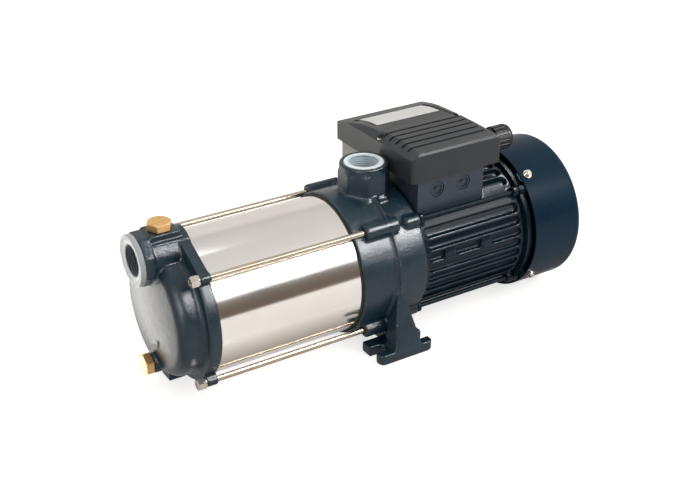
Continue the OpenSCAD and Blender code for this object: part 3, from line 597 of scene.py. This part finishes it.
@dataclass
class CadDress:
    """Puts each CAD node's finish into its material slots."""

    special: dict[str, Finish]

    def apply(self) -> None:
        """Dress every node from its record slot, or from the special list."""
        slots = {item["node"]: item["material_slot"] for item in frame["record"]["subparts"]}
        for name, obj in frame["nodes"].items():
            finish = self.special.get(name, DRESS[slots[name]])
            mat = finish.build()
            if not obj.material_slots:
                obj.data.materials.append(mat)
            for place in obj.material_slots:
                place.material = mat
            log.info("node %s: %s", name, finish.name)


@dataclass(frozen=True)
class Port:
    """One machined pipe port, in millimetres.

    The centre is the middle of the port's face, inward is +1 or -1, the way into the port along
    its axis, and lip_r and lip_t are the radius and the thickness of its lip.
    """

    name: str
    node: str
    centre: tuple[float, float, float]
    way: Way
    inward: float
    lip_r: float
    lip_t: float
    finish: Finish


@dataclass
class PumpEnd:
    """Suction cover, sleeve, and the lips and pipe threads of both ports, in millimetres."""

    axis_h: float = 80.0
    sleeve_r: float = 71.5
    sleeve_wall: float = 1.5
    sleeve_x0: float = -207.0
    sleeve_x1: float = -40.0
    sleeve_edge: float = 0.3
    sleeve_steps: int = 384
    crest_r: float = 15.15
    root_r: float = 16.55
    pitch: float = 2.309
    thread_from: float = 1.8
    thread_to: float = 21.5
    thread_rows: int = 150
    thread_steps: int = 160
    fade_in: float = 1.5
    fade_out: float = 3.0
    thread_skin: float = 0.1
    thread_sharp_deg: float = 28.0
    lip_face: float = 4.8
    lip_edge: float = 0.5
    # the lead-in's steps: inward from the lip's rim and down from its face, then radius and depth
    lead_steps: tuple[tuple[float, float], ...] = ((5.0, 0.05), (5.3, 0.35), (5.6, 0.55))
    lead_end: tuple[float, float] = (17.0, 1.3)
    cover_voxel: float = 1.1
    cover_rounds: int = 4
    suction: Port = Port("suction_thread", "suction_ring", (-255.0, 0.0, 142.0), Way.ALONG_SHAFT,
                         1.0, 25.2, 5.0, PORT_METAL)
    discharge: Port = Port("discharge_thread", "discharge_ring", (0.0, 0.0, 183.8), Way.UPRIGHT,
                           -1.0, 20.5, 4.0, PORT_LIT_WHITE)

    def sleeve(self) -> bpy.types.Object:
        """Tube of wall sleeve_wall, with small chamfers at its lips, turned about the shaft.

        Returns:
            The new object, which replaces the sleeve.
        """
        r0, r1, edge = self.sleeve_r - self.sleeve_wall, self.sleeve_r, self.sleeve_edge
        x0, x1 = self.sleeve_x0, self.sleeve_x1
        loop = np.array([[r0, x0], [r1 - edge, x0], [r1, x0 + edge], [r1, x1 - edge],
                         [r1 - edge, x1], [r0, x1]]) * MM
        pts, faces = turned(loop, (0.0, 0.0, self.axis_h * MM), Way.ALONG_SHAFT,
                            self.sleeve_steps)
        obj = mesh_object("sleeve_tube", pts, faces, STAINLESS, Body.CASING)
        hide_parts("sleeve")
        return obj

    def thread_ring(self, port: Port) -> bpy.types.Object:
        """Pipe thread with its machined lip.

        Radius of the bore is crest_r + groove * |saw(along / pitch - angle / 2 pi)|, which makes
        one helix, faded out at both ends, and the lip is a flat ring with a lead-in chamfer.

        Args:
            port: the port that it makes.

        Returns:
            The new object, which replaces the port's node.
        """
        rows, lip_r = self.thread_rows, port.lip_r
        down = np.linspace(self.thread_from, self.thread_to, rows)
        bore = np.stack([np.full(rows, self.crest_r), down], -1)
        lead = np.array([(lip_r - step, z) for step, z in self.lead_steps] + [self.lead_end])
        wall = self.root_r + self.thread_skin
        outer = np.array([[wall, self.thread_to], [wall, port.lip_t], [lip_r, port.lip_t],
                          [lip_r, self.lip_edge], [lip_r - self.lip_edge, 0.0],
                          [lip_r - self.lip_face, 0.0]])
        loop = np.concatenate([lead, bore, outer])
        inner = np.zeros(len(loop), bool)
        inner[len(lead):len(lead) + rows] = True
        loop[:, 1] *= port.inward
        groove = (self.root_r - self.crest_r) * MM

        def helix(along: Array, angle: Array) -> Array:
            """Depth of the thread's groove at each point of the bore, in metres."""
            deep = np.abs(along / MM)
            turn = deep / self.pitch - port.inward * angle / (2 * math.pi)
            saw = 2.0 * np.abs(turn - np.floor(turn + 0.5))
            start = np.clip((deep - self.thread_from) / self.fade_in, 0, 1)
            end = np.clip((self.thread_to - deep) / self.fade_out, 0, 1)
            return groove * saw * start * end * inner[:, None]

        centre = [place * MM for place in port.centre]
        pts, faces = turned(loop * MM, centre, port.way, self.thread_steps, helix)
        obj = mesh_object(port.name, pts, faces, port.finish, Body.CASING,
                          sharp=self.thread_sharp_deg)
        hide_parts(port.node)
        return obj

    def build(self) -> None:
        """Make the pump end's own pieces."""
        soft_copy("suction_cover", CAST_ENAMEL, Body.CASING,
                  self.cover_voxel, self.cover_rounds)
        self.sleeve()
        self.thread_ring(self.suction)
        self.thread_ring(self.discharge)


@dataclass
class BracketGroup:
    """Cast bracket with its foot and discharge neck."""

    voxel_mm: float = 1.36
    rounds: int = 4

    def build(self) -> None:
        """Make the bracket's soft-edged casting."""
        soft_copy("bracket", CAST_ENAMEL, Body.CASING, self.voxel_mm,
                  self.rounds)


@dataclass
class MotorGroup:
    """Finned frame with the round ends and soft tips that a die leaves."""

    voxel_mm: float = 1.36
    rounds: int = 2

    def build(self) -> None:
        """Make the frame's soft-edged casting."""
        soft_copy("motor_frame", MOTOR_ENAMEL, Body.CASING, self.voxel_mm,
                  self.rounds)


@dataclass
class TerminalBox:
    """Soft-edged lid and the bare label plate in its recess, in millimetres."""

    x0: float = 43.0
    x1: float = 122.5
    y0: float = 41.5
    y1: float = 75.8
    thick: float = 0.5
    lift: float = 0.05
    plate_edge: float = 0.15
    lid_edge: float = 0.7
    steps: tuple[int, int] = (24, 32)
    recess_y: tuple[float, float, float] = (21.0, 57.0, 76.0)
    recess_z: tuple[float, float, float] = (200.3, 197.2, 193.0)

    def height(self, y: Array) -> Array:
        """Height of the recess floor over y, straight between its three measured places."""
        return np.interp(y, self.recess_y, self.recess_z)

    def label(self) -> bpy.types.Object:
        """Plate that follows the recess: z(u, v) = height(y(v)) + lift, and thick over that.

        Returns:
            The new object.
        """
        rows, cols = self.steps
        u = np.linspace(self.x0, self.x1, rows)
        v = np.linspace(self.y0, self.y1, cols)
        uu, vv = np.meshgrid(u, v, indexing="ij")
        low = np.stack([uu, vv, self.height(vv) + self.lift], -1).reshape(-1, 3)
        high = low + np.array([0.0, 0.0, self.thick])
        n = len(low)
        top = grid_faces(rows, cols, False)
        # point numbers once round the edge: first row, last column, last row, first column
        rim = np.concatenate([np.arange(cols), np.arange(1, rows) * cols + cols - 1,
                              (rows - 1) * cols + np.arange(cols - 2, -1, -1),
                              np.arange(rows - 2, 0, -1) * cols])
        following = np.roll(rim, -1)
        side = np.stack([rim, following, following + n, rim + n], -1)
        pts = np.concatenate([low, high]) * MM
        faces = np.concatenate([top[:, ::-1], top + n, side])
        obj = mesh_object("label_plate", pts, faces, LABEL, Body.CASING)
        bevel = obj.modifiers.new("edge", "BEVEL")
        bevel.width = self.plate_edge * MM
        bevel.segments = 2
        bevel.limit_method = "ANGLE"
        return obj

    def build(self) -> None:
        """Make the box's own pieces."""
        edge_copy("terminal_lid", CHARCOAL, Body.CASING, self.lid_edge)
        self.label()


@dataclass(frozen=True)
class Lamp:
    """A soft rectangular lamp that looks at the pump, in metres and watts.

    Where it names pieces, it makes highlights on these alone.
    """

    name: str
    place: tuple[float, float, float]
    size: tuple[float, float]
    power: float
    lights: tuple[str, ...] = ()


@dataclass(frozen=True)
class Card:
    """A card that only glossy surfaces see, with a ramp of tone over it.

    Its first two corners are the lower edge, where the tone is low, and high is the tone of the
    far edge.
    """

    name: str
    corners: tuple[tuple[float, float, float], ...]
    low: str
    high: str
    strength: float


CASTINGS = ("suction_cover_cast", "bracket_cast")
BRIGHT = ("sleeve_tube", "filler_plug", "drain_plug", "gland_nut", "fan_cover_screws",
          "tie_rod_nuts")
DARK = ("motor_frame_cast", "terminal_lid_moulded", "end_shield")
LAMPS = (
    Lamp("key", (0.62, -0.92, 0.90), (0.85, 0.3), 5.0),
    Lamp("key gloss", (0.60, -0.95, 0.93), (1.0, 0.40), 42.0, CASTINGS + BRIGHT),
    Lamp("left gloss", (-1.15, -0.95, 0.55), (0.35, 0.5), 14.0, CASTINGS),
    Lamp("edge gloss", (0.80, -0.21, 1.53), (0.8, 0.3), 40.0, DARK),
    Lamp("top", (-0.2, 0.5, 1.7), (1.2, 0.9), 4.0),
)
CARDS = (
    Card("dark front strip", ((-2.0, -0.88, 0.0), (3.0, -0.88, 0.0), (3.0, -0.88, 0.44),
                              (-2.0, -0.88, 0.44)), "6b594c", "75716a", 1.0),
    Card("bright floor patch", ((-0.62, 0.22, 0.001), (-0.262, -0.005, 0.001),
                                (-0.262, 0.9, 0.001), (-0.7, 0.9, 0.001)),
         "fffaf2", "ffffff", 4.0),
    Card("near floor", ((-0.45, -0.045, 0.0006), (0.95, -0.045, 0.0006),
                        (0.95, -0.13, 0.0006), (-0.45, -0.13, 0.0006)),
         "9c948a", "fbf6f1", 1.0),
)
# tones of the walls that metal mirrors, from straight down at 0 over level at 0.5 to straight up
FRONT_WALL = ((0.0, "e6e0da"), (0.50, "e6e0da"), (0.62, "cdc9c4"), (0.66, "ffffff"),
              (0.87, "ffffff"), (0.90, "efece8"), (1.0, "ebe8e5"))
BACK_WALL = ((0.0, "e0dcd8"), (0.70, "f2eee9"), (0.76, "f0ece8"), (0.80, "dcd8d5"),
             (0.90, "e6e3e0"), (1.0, "ebe8e5"))
WHITE = grey(1.0)


@dataclass
class Studio:
    """Plain pale floor, soft studio light and the camera, in metres."""

    eye: tuple[float, float, float] = (-0.5933, -0.92535, 0.66489)
    heading_deg: float = 31.95
    tilt_deg: float = 27.93
    lens: float = 61.17
    sensor: float = 36.0
    aim: tuple[float, float, float] = (-0.01, 0.0, 0.09)
    floor_half: float = 6.0
    floor_drop: float = 0.0004
    floor_tone: str = "dad7d3"
    floor_to_eye: float = 0.72
    floor_in_metal: float = 0.27
    air: float = 0.92
    air_tone: str = "e8e5e2"
    wall_blend: float = 0.15

    def _rays(self, tree: bpy.types.NodeTree) -> tuple[bpy.types.NodeSocket, bpy.types.NodeSocket]:
        """Tell the camera's rays from those of mirrors and glass.

        Args:
            tree: nodes of the floor or the world.

        Returns:
            Sockets that are 1 for a camera ray, and for a glossy or transmission ray.
        """
        seen = add(tree, "ShaderNodeLightPath").outputs
        mirror = add(tree, "ShaderNodeMath",
                     {0: seen["Is Glossy Ray"], 1: seen["Is Transmission Ray"]},
                     operation="MAXIMUM").outputs[0]
        return seen["Is Camera Ray"], mirror

    def floor(self) -> None:
        """A wide pale sheet just under the foot that keeps the shadow and looks white."""
        mesh = bpy.data.meshes.new("floor")
        s, z = self.floor_half, -self.floor_drop
        mesh.from_pydata([(-s, -s, z), (s, -s, z), (s, s, z), (-s, s, z)], [], [(0, 1, 2, 3)])
        obj = enter("floor", mesh)
        mat = bpy.data.materials.new("pale studio floor")
        tree = empty_tree(mat)
        pale = add(tree, "ShaderNodeBsdfDiffuse", {"Color": srgb(self.floor_tone)})
        eye_ray, mirror_ray = self._rays(tree)
        soft = add(tree, "ShaderNodeMath", {0: mirror_ray, 1: self.floor_in_metal},
                   operation="MULTIPLY")
        shine = add(tree, "ShaderNodeMath",
                    {0: eye_ray, 1: self.floor_to_eye, 2: soft.outputs[0]},
                    operation="MULTIPLY_ADD")
        glow = add(tree, "ShaderNodeEmission", {"Color": WHITE, "Strength": shine.outputs[0]})
        both = add(tree, "ShaderNodeAddShader", {0: pale.outputs[0], 1: glow.outputs[0]})
        add(tree, "ShaderNodeOutputMaterial", {"Surface": both.outputs[0]})
        mesh.materials.append(mat)

    def sky(self) -> None:
        """Studio air as a world: white to the eye, plain to dull surfaces, walls to metal.

        Metal sees one ramp of tones in front of the pump and another behind it, by height.
        """
        world = bpy.data.worlds.new("studio")
        bpy.context.scene.world = world
        tree = empty_tree(world)
        way = add(tree, "ShaderNodeTexCoord").outputs["Generated"]
        split = add(tree, "ShaderNodeSeparateXYZ", {"Vector": way}).outputs
        rise = add(tree, "ShaderNodeMapRange",
                   {"Value": split["Z"], "From Min": -1.0, "From Max": 1.0}).outputs["Result"]
        front, back = [
            add(tree, "ShaderNodeValToRGB", {"Fac": rise},
                stops=[(place, srgb(tone)) for place, tone in wall]).outputs["Color"]
            for wall in (FRONT_WALL, BACK_WALL)]
        behind = add(tree, "ShaderNodeMapRange",
                     {"Value": split["Y"], "From Min": -self.wall_blend,
                      "From Max": self.wall_blend}).outputs["Result"]
        walls = add(tree, "ShaderNodeMix", {"Factor": behind, 6: front, 7: back},
                    data_type="RGBA").outputs[2]
        eye_ray, mirror_ray = self._rays(tree)
        plain, room, white = [
            add(tree, "ShaderNodeBackground", {"Color": tone, "Strength": strength}).outputs[0]
            for tone, strength in ((srgb(self.air_tone), self.air), (walls, self.air),
                                   (WHITE, 1.0))]
        metal = add(tree, "ShaderNodeMixShader", {0: mirror_ray, 1: plain, 2: room})
        mix = add(tree, "ShaderNodeMixShader", {0: eye_ray, 1: metal.outputs[0], 2: white})
        add(tree, "ShaderNodeOutputWorld", {"Surface": mix.outputs[0]})

    def lamp(self, lamp: Lamp) -> None:
        """Hang a lamp and turn it to the pump.

        Args:
            lamp: the lamp that it makes.
        """
        data = bpy.data.lights.new(lamp.name, "AREA")
        data.shape = "RECTANGLE"
        data.size, data.size_y = lamp.size
        data.energy = lamp.power
        obj = enter(lamp.name, data)
        obj.location = lamp.place
        aim = Vector(self.aim) - Vector(lamp.place)
        obj.rotation_euler = aim.to_track_quat("-Z", "Y").to_euler()
        if lamp.lights:
            obj.visible_diffuse = False
            group = bpy.data.collections.new(lamp.name)
            for piece in lamp.lights:
                group.objects.link(bpy.data.objects.get(piece) or frame["nodes"][piece])
            obj.light_linking.receiver_collection = group

    def card(self, card: Card) -> None:
        """Stand up a card, with its ramp from the first edge to the far edge.

        Args:
            card: the card that it makes.
        """
        mesh = bpy.data.meshes.new(card.name)
        mesh.from_pydata(list(card.corners), [], [(0, 1, 2, 3)])
        uv = mesh.uv_layers.new(name="card")
        for loop, place in zip(uv.data, ((0, 0), (1, 0), (1, 1), (0, 1))):
            loop.uv = place
        obj = enter(card.name, mesh)
        mat = bpy.data.materials.new(card.name)
        tree = empty_tree(mat)
        place = add(tree, "ShaderNodeUVMap", uv_map="card").outputs[0]
        split = add(tree, "ShaderNodeSeparateXYZ", {"Vector": place})
        ramp = add(tree, "ShaderNodeValToRGB", {"Fac": split.outputs["Y"]},
                   stops=[(0.0, srgb(card.low)), (1.0, srgb(card.high))]).outputs["Color"]
        glow = add(tree, "ShaderNodeEmission", {"Color": ramp, "Strength": card.strength})
        add(tree, "ShaderNodeOutputMaterial", {"Surface": glow.outputs[0]})
        mesh.materials.append(mat)
        obj.visible_camera = False
        obj.visible_shadow = False
        obj.visible_diffuse = False

    def camera(self) -> None:
        """Camera at the photograph's measured place, heading and tilt."""
        data = bpy.data.cameras.new("camera")
        data.sensor_width = self.sensor
        data.lens = self.lens
        obj = enter("camera", data)
        obj.location = self.eye
        obj.rotation_euler = (math.radians(90.0 - self.tilt_deg), 0.0,
                              -math.radians(self.heading_deg))
        bpy.context.scene.camera = obj

    def build(self) -> None:
        """Set floor, world, lamps, cards and camera."""
        bpy.context.scene.view_settings.view_transform = "Standard"
        self.floor()
        self.sky()
        for lamp in LAMPS:
            self.lamp(lamp)
        for card in CARDS:
            self.card(card)
        self.camera()


def main() -> None:
    """Dress the nodes, add the new pieces and set the studio."""
    CadDress({"tie_rods": ROD}).apply()
    PumpEnd().build()
    BracketGroup().build()
    MotorGroup().build()
    TerminalBox().build()
    Studio().build()


if __name__ == "__main__":
    main()
